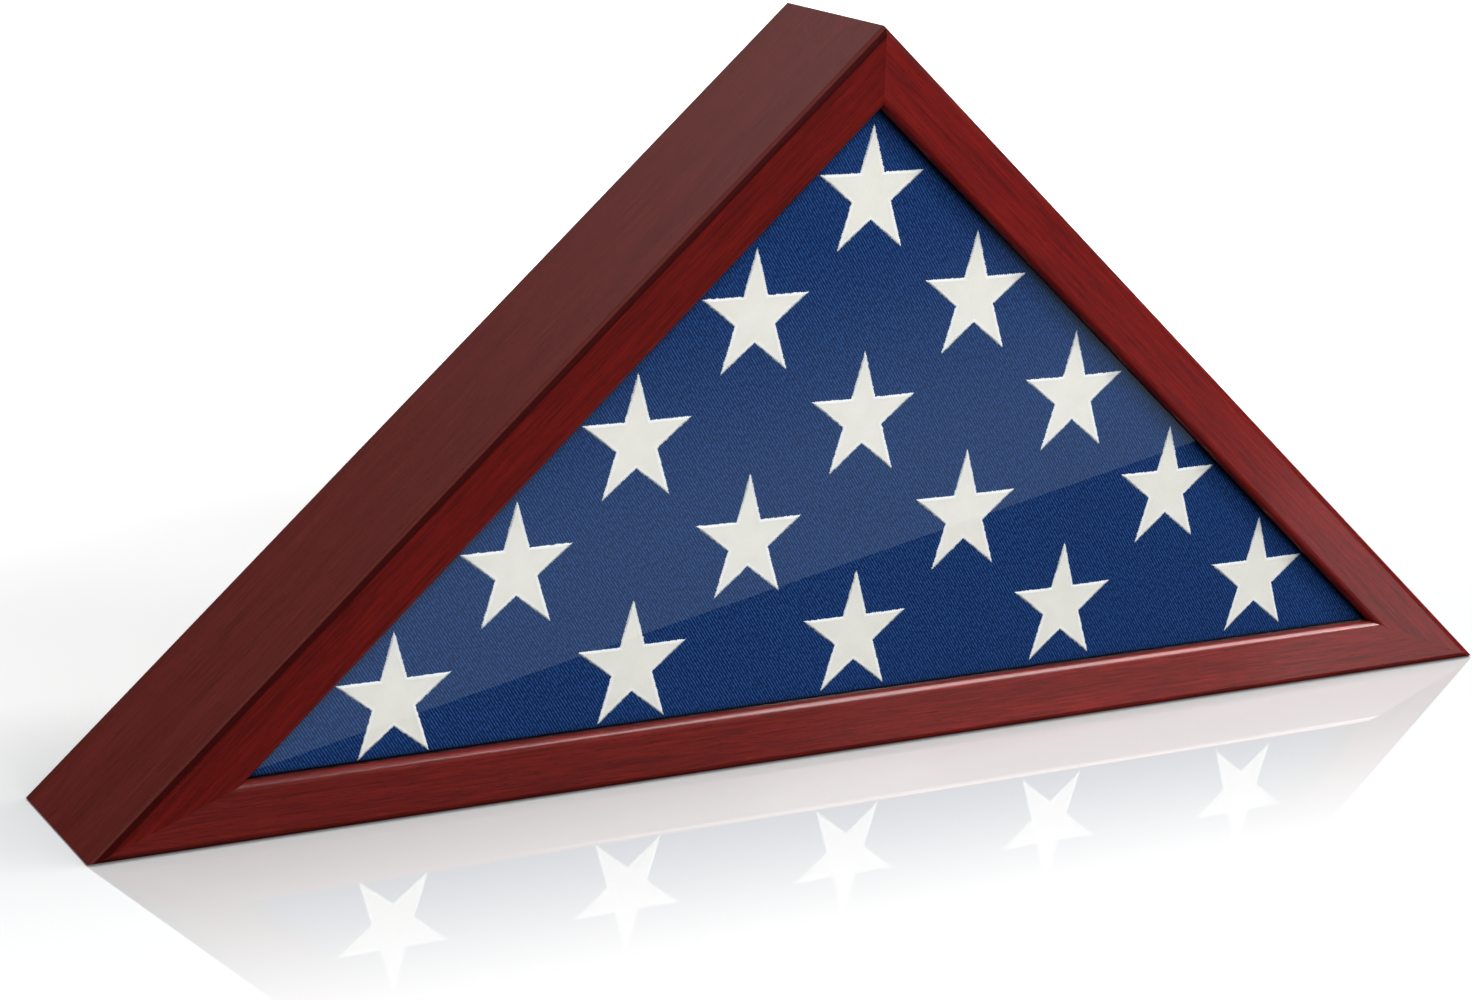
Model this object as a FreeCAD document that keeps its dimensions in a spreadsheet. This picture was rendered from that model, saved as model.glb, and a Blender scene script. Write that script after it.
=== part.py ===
import FreeCAD, Part
import math
import os
import re

import Sketcher
from FreeCAD import Placement, Rotation, Vector

# A folded flag display case: three mitred boards with a mitred face frame, a glass pane
# held by three stops, the folded flag, and a lined back panel kept in by turn buttons.
# Frame: the origin is the middle of the bounding box's bottom face, +X runs along the
# base, +Y from the glass towards the back, +Z up.
# Every piece along a side is drawn in that side's own frame: x runs along the outer edge,
# clockwise as seen from the front, y is the depth behind the front face, and z points out
# of the case. So a piece that lies S inside the outer face has z = -S.

DRIVING_SIZES = {
    # the case
    "case_width": 650,
    "case_height": 297,
    "case_depth": 81,
    # boards
    "board_thick": 12,
    "back_edge_round": 1,
    "panel_rebate_width": 5,
    "panel_rebate_depth": 3.7,
    # face rails: a cap over the boards' front edges, a thumbnail edge that falls away to an
    # arris, a flat face, and a quarter round beside the glass
    "cap_depth": 3.2,
    "arris_depth": 2.5,
    "thumbnail_width": 3,
    "face_width": 20.6,
    "inner_round": 3,
    "lip_depth": 4,
    "rail_depth": 12,
    "glass_rebate_start": 18,
    # glass and its stops
    "glass_thick": 2,
    "glass_gap": 0.7,
    "stop_width": 4.6,
    "stop_depth": 5,
    # folded flag
    "flag_side_gap": 1.2,
    "flag_window_start": 23.2,
    "flag_front_depth": 7,
    "flag_shoulder_depth": 12.6,
    "flag_back_depth": 70,
    # sewn-on stars
    "star_thick": 0.4,
    "star_half_width": 25.2,
    "star_stretch": 1.1,
    "star_waist": 0.375,
    "star_rows": 5,
    "star_column_pitch": 101.2,
    "star_row_pitch": 45.6,
    "star_first_row": 47.8,
    "star_field_slope": 0.008,
    # back panel and its lining
    "panel_gap": 0.5,
    "panel_thick": 3,
    "lining_thick": 0.4,
    "lining_inset": 1,
    # turn buttons and their screws
    "button_reach": 18,
    "button_width": 5.6,
    "button_pivot_inset": 4,
    "button_thick": 1.2,
    "button_edge_round": 0.3,
    "button_lift": 0.1,
    "screw_radius": 1.5,
    "screw_play": 0.05,
    "screw_length": 14,
    "pilot_spare": 1,
    "screw_point": 2.5,
    "head_radius": 2.7,
    "head_rim": 0.5,
    "head_height": 1.5,
    "slot_width": 0.7,
    "slot_length": 3.2,
    "slot_depth": 0.8,
    # corner nails, bent plates driven across the mitres
    "nail_leg": 5,
    "nail_thick": 0.5,
    "nail_depth": 8,
}

DERIVED_SIZES = {
    "half_base": "=case_width / 2",
    "side_length": "=sqrt(half_base ^ 2 + case_height ^ 2)",
    # cotangents of half the angle between two sides, at a base corner and at the apex
    "cot_base": "=(side_length + half_base) / case_height",
    "cot_apex": "=case_height / half_base",
    "thumbnail_radius": "=(arris_depth ^ 2 + thumbnail_width ^ 2) / (2 * arris_depth)",
    "head_start": "=button_thick + 2 * button_lift",
    "whole_depth": "=case_depth + head_start + head_height",
}

# Where the turn buttons sit, as a share of the way along each side's outer edge.
BUTTON_PLACES = {
    "left": {"low": 0.27, "high": 0.73},
    "right": {"high": 0.27, "low": 0.73},
    "bottom": {"right": 0.27, "left": 0.73},
}

# How far a cutting sketch runs past the faces that it cuts through.
CUT_MARGIN = 3

doc = FreeCAD.newDocument("flag_case")


def make_sheet():
    sheet = doc.addObject("Spreadsheet::Sheet", "Sizes")
    for row, (alias, content) in enumerate({**DRIVING_SIZES, **DERIVED_SIZES}.items(), 1):
        sheet.set(f"A{row}", alias)
        sheet.set(f"B{row}", str(content))
        sheet.setAlias(f"B{row}", alias)
    doc.recompute()
    return sheet


sheet = make_sheet()


def bound(text):
    """The expression with each alias (every word with an underscore) read from the sheet."""
    return re.sub(r"[a-z]+(?:_[a-z]+)+", r"Sizes.\g<0>", text)


def value(text):
    result = sheet.evalExpression(bound(text))
    return float(getattr(result, "Value", result))


BASE_ANGLE = math.degrees(math.atan2(value("case_height"), value("half_base")))
FRONT_Y = -value("whole_depth") / 2

# Each side: its length, the mitres at its start and end, where it starts and which way it runs.
SIDES = {
    "left": ("side_length", "cot_base", "cot_apex", (-value("half_base"), 0), BASE_ANGLE),
    "right": ("side_length", "cot_apex", "cot_base", (0, value("case_height")), -BASE_ANGLE),
    "bottom": ("case_width", "cot_base", "cot_base", (value("half_base"), 0), 180),
}


def side_placement(side):
    x, z = SIDES[side][3]
    return Placement(Vector(x, FRONT_Y, z), Rotation(Vector(0, 1, 0), -SIDES[side][4]))


# ---------------------------------------------------------------- sketches and features


def new_body(label, placement):
    body = doc.addObject("PartDesign::Body", label)
    body.Placement = placement
    return body


def new_sketch(body, role, offset="0"):
    """A sketch on one of the body's own origin planes, moved along the plane's normal."""
    sketch = body.newObject("Sketcher::SketchObject", body.Name + "_sketch")
    plane = next(f for f in body.Origin.OriginFeatures if f.Role == role)
    sketch.AttachmentSupport = [(plane, "")]
    sketch.MapMode = "FlatFace"
    sketch.setExpression("AttachmentOffset.Base.z", bound(offset))
    return sketch


def hold_point(sketch, geometry, point, place):
    for kind, text in zip(("DistanceX", "DistanceY"), place):
        made = Sketcher.Constraint(kind, -1, 1, geometry, point, value(text))
        index = sketch.addConstraint(made)
        sketch.setExpression(f"Constraints[{index}]", bound(text))


def hold_radius(sketch, geometry, radius):
    index = sketch.addConstraint(Sketcher.Constraint("Radius", geometry, value(radius)))
    sketch.setExpression(f"Constraints[{index}]", bound(radius))


def outward_arc(start, end, radius):
    """An arc that bulges to the right of the way from start to end."""
    chord = end - start
    rise = radius - math.sqrt(radius**2 - (chord.Length / 2) ** 2)
    outward = Vector(chord.y, -chord.x, 0).normalize()
    return Part.Arc(start, (start + end) / 2 + outward * rise, end)


def add_outline(sketch, places, bends=None):
    """A closed outline whose corners are bound to the sheet; a bend is a side's arc radius."""
    bends = bends or {}
    corners = [Vector(value(x), value(y), 0) for x, y in places]
    first = sketch.GeometryCount
    count = len(corners)
    for index, corner in enumerate(corners):
        ends = corner, corners[(index + 1) % count]
        if index in bends:
            sketch.addGeometry(outward_arc(*ends, value(bends[index])))
        else:
            sketch.addGeometry(Part.LineSegment(*ends))
    for index, place in enumerate(places):
        after = first + (index + 1) % count
        sketch.addConstraint(Sketcher.Constraint("Coincident", first + index, 2, after, 1))
        hold_point(sketch, first + index, 1, place)
    for index, radius in bends.items():
        hold_radius(sketch, first + index, radius)


def add_circle(sketch, place, radius):
    centre = Vector(value(place[0]), value(place[1]), 0)
    index = sketch.addGeometry(Part.Circle(centre, Vector(0, 0, 1), value(radius)))
    hold_point(sketch, index, 3, place)
    hold_radius(sketch, index, radius)


def pad(body, sketch, length, backwards=False):
    feature = body.newObject("PartDesign::Pad", body.Name + "_pad")
    feature.Profile = sketch
    feature.setExpression("Length", bound(length))
    feature.Reversed = backwards
    doc.recompute()
    return feature


def pocket(body, sketch, length, towards_back):
    """Cuts from a sketch on the front-view plane, and makes sure that it cut something."""
    before = body.Shape.Volume
    feature = body.newObject("PartDesign::Pocket", body.Name + "_pocket")
    feature.Profile = sketch
    feature.setExpression("Length", bound(length))
    feature.Reversed = not towards_back
    doc.recompute()
    if not body.Shape.Volume < before:
        raise RuntimeError(f"{feature.Name} cuts nothing")
    return feature


def fillet(body, radius, wanted):
    """Rounds each edge of the body's tip whose middle, in the body's frame, is wanted."""
    tip = body.Tip
    names = [
        f"Edge{number}"
        for number, edge in enumerate(tip.Shape.Edges, 1)
        if wanted(edge.CenterOfMass)
    ]
    feature = body.newObject("PartDesign::Fillet", body.Name + "_round")
    feature.Base = (tip, names)
    feature.setExpression("Radius", bound(radius))
    doc.recompute()
    return feature


def mitred_outline(side, outer, inner):
    """The outline in a side's frame, between two depths from the outer face."""
    length, cot_start, cot_end = SIDES[side][:3]
    start_outer, start_inner = (f"({s}) * {cot_start}" for s in (outer, inner))
    end_outer, end_inner = (f"{length} - ({s}) * {cot_end}" for s in (outer, inner))
    return [
        (start_outer, f"-({outer})"),
        (end_outer, f"-({outer})"),
        (end_inner, f"-({inner})"),
        (start_inner, f"-({inner})"),
    ]


def strip(label, side, outer, inner, front, back):
    """A straight piece along a side with mitred ends."""
    body = new_body(label, side_placement(side))
    sketch = new_sketch(body, "XZ_Plane", f"-({front})")
    add_outline(sketch, mitred_outline(side, outer, inner))
    pad(body, sketch, f"{back} - ({front})", backwards=True)
    return body


def add_triangle(body, inset, front, back):
    """A plate parallel to the front, its edges a set distance inside the outer faces."""
    half = f"half_base - ({inset}) * cot_base"
    top = f"case_height - ({inset}) * side_length / half_base"
    sketch = new_sketch(body, "XZ_Plane", f"-({front})")
    add_outline(sketch, [(f"-({half})", inset), (half, inset), ("0", top)])
    pad(body, sketch, f"{back} - ({front})", backwards=True)


def triangle_plate(label, inset, front, back):
    body = new_body(label, Placement(Vector(0, FRONT_Y, 0), Rotation()))
    add_triangle(body, inset, front, back)
    return body


def placed(shape, placement):
    copy = shape.copy()
    copy.Placement = placement.multiply(copy.Placement)
    return copy


def group(label, solids):
    feature = doc.addObject("Part::Feature", label)
    feature.Shape = Part.makeCompound(solids)
    return feature


# ---------------------------------------------------------------- boards and face rails


def button_place(side, share):
    return f"{share} * {SIDES[side][0]}", "-button_pivot_inset"


def board_blank(side):
    """A side of the box with its panel rebate and the pilot holes of its screws."""
    body = strip(f"{side}_board_blank", side, "0", "board_thick", "cap_depth", "case_depth")
    rebate_start = "board_thick - panel_rebate_width"
    rebate = new_sketch(body, "XZ_Plane", "-case_depth")
    add_outline(rebate, mitred_outline(side, rebate_start, f"board_thick + {CUT_MARGIN}"))
    pocket(body, rebate, "panel_rebate_depth", towards_back=False)
    pilots = new_sketch(body, "XZ_Plane", "-case_depth")
    for share in BUTTON_PLACES[side].values():
        add_circle(pilots, button_place(side, share), "screw_radius")
    pocket(body, pilots, "screw_length + pilot_spare", towards_back=False)
    depth = value("case_depth")
    fillet(body, "back_edge_round", lambda middle: abs(middle.z) < 0.01 and abs(middle.y - depth) < 0.01)
    return body


def board(side, nails):
    cut = doc.addObject("Part::Cut", f"{side}_board")
    cut.Base = board_blank(side)
    cut.Tool = nails
    doc.recompute()
    return cut


def rail_outline():
    """Depth and height of the rail's section, whose sides 1 and 3 are rounded."""
    lip_end = "face_width + inner_round"
    return [
        ("cap_depth", "0"),
        ("arris_depth", "0"),
        ("0", "-thumbnail_width"),
        ("0", "-face_width"),
        ("inner_round", f"-({lip_end})"),
        ("lip_depth", f"-({lip_end})"),
        ("lip_depth", "-glass_rebate_start"),
        ("rail_depth", "-glass_rebate_start"),
        ("rail_depth", "-board_thick"),
        ("cap_depth", "-board_thick"),
    ]


def mitre_waste(side):
    """The two wedges that a rail's square ends lose to its mitres."""
    length, cot_start, cot_end = SIDES[side][:3]
    out, far = CUT_MARGIN, f"glass_rebate_start + {3 * CUT_MARGIN}"
    beyond = f"{2 * CUT_MARGIN} * cot_base"
    start = [
        (f"-{out} * {cot_start}", str(out)),
        (f"({far}) * {cot_start}", f"-({far})"),
        (f"-({beyond})", f"-({far})"),
        (f"-({beyond})", str(out)),
    ]
    end = [
        (f"{length} + {out} * {cot_end}", str(out)),
        (f"{length} + {beyond}", str(out)),
        (f"{length} + {beyond}", f"-({far})"),
        (f"{length} - ({far}) * {cot_end}", f"-({far})"),
    ]
    return start, end


def face_rail(side):
    body = new_body(f"{side}_face_rail", side_placement(side))
    length = SIDES[side][0]
    section = new_sketch(body, "YZ_Plane")
    add_outline(section, rail_outline(), {1: "thumbnail_radius", 3: "inner_round"})
    pad(body, section, length)
    for wedge in mitre_waste(side):
        waste = new_sketch(body, "XZ_Plane", f"{CUT_MARGIN} * cot_apex")
        add_outline(waste, wedge)
        pocket(body, waste, f"rail_depth + {2 * CUT_MARGIN} * cot_apex", towards_back=True)
    return body


def corner_nails():
    """Bent plates driven across the mitres, flush with the boards' back edges."""
    inset = value("button_pivot_inset")
    half, top = value("half_base"), value("case_height")
    along = value("cot_base") * inset
    corners = [
        (-half + along, inset, BASE_ANGLE / 2),
        (half - along, inset, 180 - BASE_ANGLE / 2),
        (0, top - inset * value("side_length / half_base"), -90),
    ]
    thick, depth = value("nail_thick"), value("nail_depth")
    nails = []
    for x, z, inwards in corners:
        place = Vector(x, FRONT_Y + value("case_depth") - depth, z)
        legs = [
            placed(
                Part.makeBox(value("nail_leg"), depth, thick, Vector(0, 0, -thick / 2)),
                Placement(place, Rotation(Vector(0, 1, 0), -inwards + turn)),
            )
            for turn in (-45, 45)
        ]
        nails.append(legs[0].fuse(legs[1]).removeSplitter())
    return group("corner_nails", nails)


# ---------------------------------------------------------------- glass, flag and back


def glass():
    inset = "glass_rebate_start + glass_gap"
    return triangle_plate("glass_pane", inset, "lip_depth", "lip_depth + glass_thick")


def glass_stop(side):
    front = "lip_depth + glass_thick"
    return strip(
        f"{side}_glass_stop",
        side,
        "glass_rebate_start",
        "glass_rebate_start + stop_width",
        front,
        f"{front} + stop_depth",
    )


def flag():
    """The folded bundle: it fills the box, and its front stands forward inside the stops."""
    body = triangle_plate(
        "folded_flag", "board_thick + flag_side_gap", "flag_shoulder_depth", "flag_back_depth"
    )
    add_triangle(body, "flag_window_start", "flag_front_depth", "flag_shoulder_depth + 1")
    return body


def star(x, z):
    """One star's plate, its points up, centred on a place of the flag's front."""
    reach, waist = value("star_half_width"), value("star_waist")
    stretch = value("star_stretch")
    back = FRONT_Y + value("flag_front_depth")
    corners = []
    for step in range(10):
        angle = math.radians(90 + 36 * step)
        radius = reach * (waist if step % 2 else 1)
        corners.append(Vector(x + radius * math.cos(angle), back, z + stretch * radius * math.sin(angle)))
    outline = Part.Face(Part.makePolygon(corners + corners[:1]))
    return outline.extrude(Vector(0, -value("star_thick"), 0))


def stars():
    rows = int(value("star_rows"))
    solids = []
    for row in range(rows):
        in_row = rows - row
        row_height = value("star_first_row") + row * value("star_row_pitch")
        for column in range(in_row):
            x = (column - (in_row - 1) / 2) * value("star_column_pitch")
            solids.append(star(x, row_height + x * value("star_field_slope")))
    return group("flag_stars", solids)


def back_panel():
    inset = "board_thick - panel_rebate_width + panel_gap"
    lining_front = "case_depth - panel_rebate_depth"
    panel_front = f"{lining_front} + lining_thick"
    panel = triangle_plate("back_panel", inset, panel_front, f"{panel_front} + panel_thick")
    lining = triangle_plate("panel_lining", f"{inset} + lining_inset", lining_front, panel_front)
    return panel, lining


# ---------------------------------------------------------------- turn buttons and screws


def pivot_placement(side, share):
    """On the board's back edge, with y backwards and x along the side."""
    local = Vector(share * value(SIDES[side][0]), value("case_depth"), -value("button_pivot_inset"))
    return side_placement(side).multiply(Placement(local, Rotation()))


def turn_button(side, place, share):
    """A flat strip with round ends and one hole, lying along its board when it is open."""
    body = new_body(f"turn_button_{side}_{place}", pivot_placement(side, share))
    reach, radius = "button_reach", "button_width / 2"
    blade = new_sketch(body, "XZ_Plane", "-button_lift")
    corners = [
        ("0", f"-{radius}"),
        (reach, f"-{radius}"),
        (reach, radius),
        ("0", radius),
    ]
    add_outline(blade, corners)
    pad(body, blade, "button_thick", backwards=True)
    for centre in ("0", reach):
        end = new_sketch(body, "XZ_Plane", "-button_lift")
        add_circle(end, (centre, "0"), radius)
        pad(body, end, "button_thick", backwards=True)
    top = value("button_lift + button_thick")
    fillet(body, "button_edge_round", lambda middle: abs(middle.y - top) < 0.01)
    hole = new_sketch(body, "XZ_Plane", "-(button_lift + button_thick)")
    add_circle(hole, ("0", "0"), "screw_radius + screw_play")
    pocket(body, hole, "button_thick", towards_back=False)
    return body


def screw():
    """A round-head wood screw with a cross recess, its axis on y and its head at the back."""
    length, point = value("screw_length"), value("screw_point")
    radius, head = value("screw_radius"), value("head_radius")
    start, rim = value("head_start"), value("head_rim")
    end = start + value("head_height")
    shank = Part.makeCylinder(radius, length - point + start, Vector(0, point - length, 0), Vector(0, 1, 0))
    tip = Part.makeCone(0.1, radius, point, Vector(0, -length, 0), Vector(0, 1, 0))
    edge = Part.makeCylinder(head, rim, Vector(0, start, 0), Vector(0, 1, 0))
    dome_radius = (head**2 + (end - start - rim) ** 2) / (2 * (end - start - rim))
    ball = Part.makeSphere(dome_radius, Vector(0, end - dome_radius, 0))
    dome = ball.common(Part.makeCylinder(head, end, Vector(0, start + rim, 0), Vector(0, 1, 0)))
    solid = shank.fuse([tip, edge, dome]).removeSplitter()
    wide, narrow, deep = (value(name) for name in ("slot_length", "slot_width", "slot_depth"))
    for size_x, size_z in ((wide, narrow), (narrow, wide)):
        corner = Vector(-size_x / 2, end - deep, -size_z / 2)
        solid = solid.cut(Part.makeBox(size_x, deep + CUT_MARGIN, size_z, corner))
    return solid


def screws():
    one = screw()
    return group(
        "turn_button_screws",
        [
            placed(one, pivot_placement(side, share))
            for side, places in BUTTON_PLACES.items()
            for share in places.values()
        ],
    )


# ---------------------------------------------------------------- the whole case


def build():
    nails = corner_nails()
    parts = [nails, glass(), flag(), stars(), *back_panel(), screws()]
    for side, places in BUTTON_PLACES.items():
        parts += [board(side, nails), face_rail(side), glass_stop(side)]
        parts += [turn_button(side, place, share) for place, share in places.items()]
    doc.recompute()
    return parts


def check(parts):
    for item in doc.Objects:
        if {"Invalid", "Error"} & set(item.State):
            raise RuntimeError(f"{item.Name} is {item.State}")
    for item in parts:
        if item.Shape.isNull() or not item.Shape.isValid():
            raise RuntimeError(f"{item.Label} has no valid shape")


def write(parts):
    os.makedirs("parts", exist_ok=True)
    for item in parts:
        item.Shape.exportStep(f"parts/{item.Label}.step")
        box = item.Shape.BoundBox
        solids = len(item.Shape.Solids)
        print(
            f"{item.Label}: {solids} solid(s), x {box.XMin:.2f} {box.XMax:.2f}, "
            f"y {box.YMin:.2f} {box.YMax:.2f}, z {box.ZMin:.2f} {box.ZMax:.2f}, "
            f"{item.Shape.Volume / 1000:.2f} cm3"
        )


made = build()
check(made)
write(made)
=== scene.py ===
import math

import bmesh
import bpy
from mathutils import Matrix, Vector, noise
from mathutils.bvhtree import BVHTree


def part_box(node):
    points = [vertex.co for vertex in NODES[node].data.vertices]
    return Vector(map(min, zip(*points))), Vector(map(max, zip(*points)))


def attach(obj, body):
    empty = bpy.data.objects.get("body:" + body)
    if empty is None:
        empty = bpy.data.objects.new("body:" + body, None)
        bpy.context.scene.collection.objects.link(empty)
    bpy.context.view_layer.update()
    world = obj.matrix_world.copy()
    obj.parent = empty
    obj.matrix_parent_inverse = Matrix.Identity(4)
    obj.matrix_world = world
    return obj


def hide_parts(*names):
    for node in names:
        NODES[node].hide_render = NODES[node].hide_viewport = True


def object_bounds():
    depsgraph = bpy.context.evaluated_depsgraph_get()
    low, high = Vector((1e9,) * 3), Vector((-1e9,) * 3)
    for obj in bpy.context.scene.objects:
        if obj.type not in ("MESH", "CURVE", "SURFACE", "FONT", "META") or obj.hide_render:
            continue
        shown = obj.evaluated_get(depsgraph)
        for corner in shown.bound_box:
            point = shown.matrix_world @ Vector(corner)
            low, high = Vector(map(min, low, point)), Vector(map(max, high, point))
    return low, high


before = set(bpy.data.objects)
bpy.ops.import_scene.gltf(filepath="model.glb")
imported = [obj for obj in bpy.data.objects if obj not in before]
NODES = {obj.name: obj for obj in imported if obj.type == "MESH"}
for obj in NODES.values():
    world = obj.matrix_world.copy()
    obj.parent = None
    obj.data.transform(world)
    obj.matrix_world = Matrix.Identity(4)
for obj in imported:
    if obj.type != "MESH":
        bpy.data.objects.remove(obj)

# A folded flag in its display case. Lengths are in metres, in the row frame: +X along the
# base, +Y from the glass towards the back, +Z up.

CAD_BOX = [list(corner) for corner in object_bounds()]
MM = 0.001

HALF_BASE = CAD_BOX[1][0]
HEIGHT = CAD_BOX[1][2]
FRONT = CAD_BOX[0][1]
BASE_ANGLE = math.atan2(HEIGHT, HALF_BASE)
SIDE_LENGTH = math.hypot(HALF_BASE, HEIGHT)
# the cotangent of half the base angle
COT_BASE = (SIDE_LENGTH + HALF_BASE) / HEIGHT
# how far each side's grain is turned about Y
GRAIN = {"left": BASE_ANGLE, "right": -BASE_ANGLE, "bottom": 0.0}
# each side's outward direction, and how far from the origin its outer face lies along it
OUTWARD = {
    "left": Vector((-math.sin(BASE_ANGLE), 0, math.cos(BASE_ANGLE))),
    "right": Vector((math.sin(BASE_ANGLE), 0, math.cos(BASE_ANGLE))),
    "bottom": Vector((0, 0, -1)),
}
OUTER_FACE = {
    "left": HALF_BASE * math.sin(BASE_ANGLE),
    "right": HALF_BASE * math.sin(BASE_ANGLE),
    "bottom": 0.0,
}


# ---------------------------------------------------------------- camera

# fitted to the case's corners in the photograph; the turn in degrees, the lens and the sensor
# in millimetres
CAMERA_PLACE = (-0.6622, -1.15165, 0.4514)
CAMERA_TURN = (74.976, -1.679, -28.029)
LENS = 81.1
SENSOR_WIDTH = 36


def make_camera():
    data = bpy.data.cameras.new("camera")
    data.lens = LENS
    data.sensor_width = SENSOR_WIDTH
    data.clip_start = 0.05
    camera = bpy.data.objects.new("camera", data)
    camera.location = CAMERA_PLACE
    camera.rotation_euler = [math.radians(a) for a in CAMERA_TURN]
    bpy.context.scene.collection.objects.link(camera)
    bpy.context.scene.camera = camera


# ---------------------------------------------------------------- node helpers

WHITE = (1, 1, 1, 1)


class Shader:
    """The nodes of one material."""

    def __init__(self, name):
        self.material = bpy.data.materials.new(name)
        self.material.use_nodes = True
        self.tree = self.material.node_tree
        self.tree.nodes.clear()

    def add(self, kind, inputs=None, **settings):
        node = self.tree.nodes.new("ShaderNode" + kind)
        for key, value in settings.items():
            setattr(node, key, value)
        for socket, value in (inputs or {}).items():
            self.feed(node, socket, value)
        return node

    def feed(self, node, socket, value):
        if isinstance(value, bpy.types.NodeSocket):
            self.tree.links.new(value, node.inputs[socket])
        else:
            node.inputs[socket].default_value = value

    def place(self, scale, turn=0.0, shift=(0, 0, 0)):
        """Object coordinates, turned about Y, in units of scale."""
        coordinates = self.add("TexCoord").outputs["Object"]
        return self.add(
            "Mapping",
            {"Vector": coordinates, "Location": shift, "Rotation": (0, -turn, 0), "Scale": scale},
            vector_type="TEXTURE",
        ).outputs[0]

    def noise(self, vector, detail=2.0, rough=0.5, distortion=0.0):
        inputs = {"Vector": vector, "Scale": 1.0, "Detail": detail}
        inputs.update({"Roughness": rough, "Distortion": distortion})
        return self.add("TexNoise", inputs).outputs["Fac"]

    def cloud(self, size, detail=2.0, rough=0.5, distortion=0.0):
        """Noise whose features are about that size in every direction."""
        return self.noise(self.place((size, size, size)), detail, rough, distortion)

    def along(self, direction):
        """How far a point lies along a direction."""
        inputs = {0: self.place((1, 1, 1)), 1: direction}
        return self.add("VectorMath", inputs, operation="DOT_PRODUCT").outputs["Value"]

    def math(self, operation, *values, clamp=False):
        node = self.add("Math", operation=operation, use_clamp=clamp)
        for index, value in enumerate(values):
            self.feed(node, index, value)
        return node.outputs[0]

    def ramp(self, value, low, high, smooth=True):
        """0 at low, 1 at high."""
        return self.add(
            "MapRange",
            {"Value": value, "From Min": low, "From Max": high, "To Min": 0.0, "To Max": 1.0},
            interpolation_type="SMOOTHSTEP" if smooth else "LINEAR",
        ).outputs[0]

    def mix(self, share, a, b):
        node = self.add("Mix", data_type="RGBA")
        self.feed(node, 0, share)
        self.feed(node, 6, a)
        self.feed(node, 7, b)
        return node.outputs[2]

    def bump(self, height, distance, strength):
        inputs = {"Height": height, "Distance": distance, "Strength": strength}
        return self.add("Bump", inputs).outputs[0]

    def glow(self, strength, colour=WHITE):
        return self.add("Emission", {"Color": colour, "Strength": strength}).outputs[0]

    def clear(self, colour=WHITE):
        return self.add("BsdfTransparent", {"Color": colour}).outputs[0]

    def mirror(self, colour, rough):
        return self.add("BsdfGlossy", {"Color": colour, "Roughness": rough}).outputs[0]

    def surface(self, inputs):
        return self.add("BsdfPrincipled", inputs).outputs[0]

    def finish(self, shader):
        output = self.add("OutputMaterial")
        self.tree.links.new(shader, output.inputs["Surface"])
        return self.material


def rgb(red, green, blue):
    """An sRGB colour, 0 to 255, as Blender's linear RGBA."""
    parts = []
    for part in (red, green, blue):
        share = part / 255
        parts.append(share / 12.92 if share <= 0.04045 else ((share + 0.055) / 1.055) ** 2.4)
    return (*parts, 1.0)


def paint(obj, material):
    """Gives a piece its only material."""
    obj.data.materials.clear()
    obj.data.materials.append(material)


# ---------------------------------------------------------------- materials of the case

# how far inside the outer face the rounded edge turns dark with painted shade, and where that
# ends
EDGE_SHADE_START = (0.6 * MM, 1.0 * MM)
EDGE_SHADE_END = (3.6 * MM, 2.6 * MM)
# the colour of the painted shade on the rails' rounded outer edge
PAINTED_EDGE_SHADE = rgb(44, 3, 3)
# the board's stain with a painted sheen, on the outer side of the rails' rounded edge
EDGE_STAIN_AND_SHEEN = rgb(84, 37, 33)


def paint_arris_shade(s, colour, side, strength):
    """A rail's rounded outer edge: the board's stain with a painted sheen on its side, painted
    shade on its front.
    """
    inside = s.math("SUBTRACT", OUTER_FACE[side], s.along(OUTWARD[side]))
    front = s.ramp(inside, *EDGE_SHADE_START)
    edge_shade = s.math("MULTIPLY", s.math("MULTIPLY", front, s.ramp(inside, *EDGE_SHADE_END)), strength)
    colour = s.mix(s.math("MULTIPLY_ADD", front, -strength, strength), colour, EDGE_STAIN_AND_SHEEN)
    return s.mix(edge_shade, colour, PAINTED_EDGE_SHADE)


# each layer of the wood's grain: its length and width, then the noise's detail and roughness
FINE_GRAIN = (12 * MM, 0.6 * MM, 2.0, 0.6)
STREAK_GRAIN = (36 * MM, 1.3 * MM, 3.0, 0.65)
BROAD_GRAIN = (300 * MM, 16 * MM, 2.0, 0.5)
PORE_GRAIN = (4.5 * MM, 0.32 * MM, 1.0, 0.5)
STREAK_WAVE = 0.2
# how much the fine, streak and broad layers count, and the noise from dark to pale wood
GRAIN_SHARES = (0.32, 0.46, 0.22)
GRAIN_RANGE = (0.37, 0.61)
# the noise where pores begin and are full, how strong they are, and how dark their colour is
PORE_RANGE = (0.60, 0.70)
PORE_STRENGTH = 0.45
PORE_TINT = 0.35
LACQUER = (0.16, 0.38, 0.12)


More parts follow.
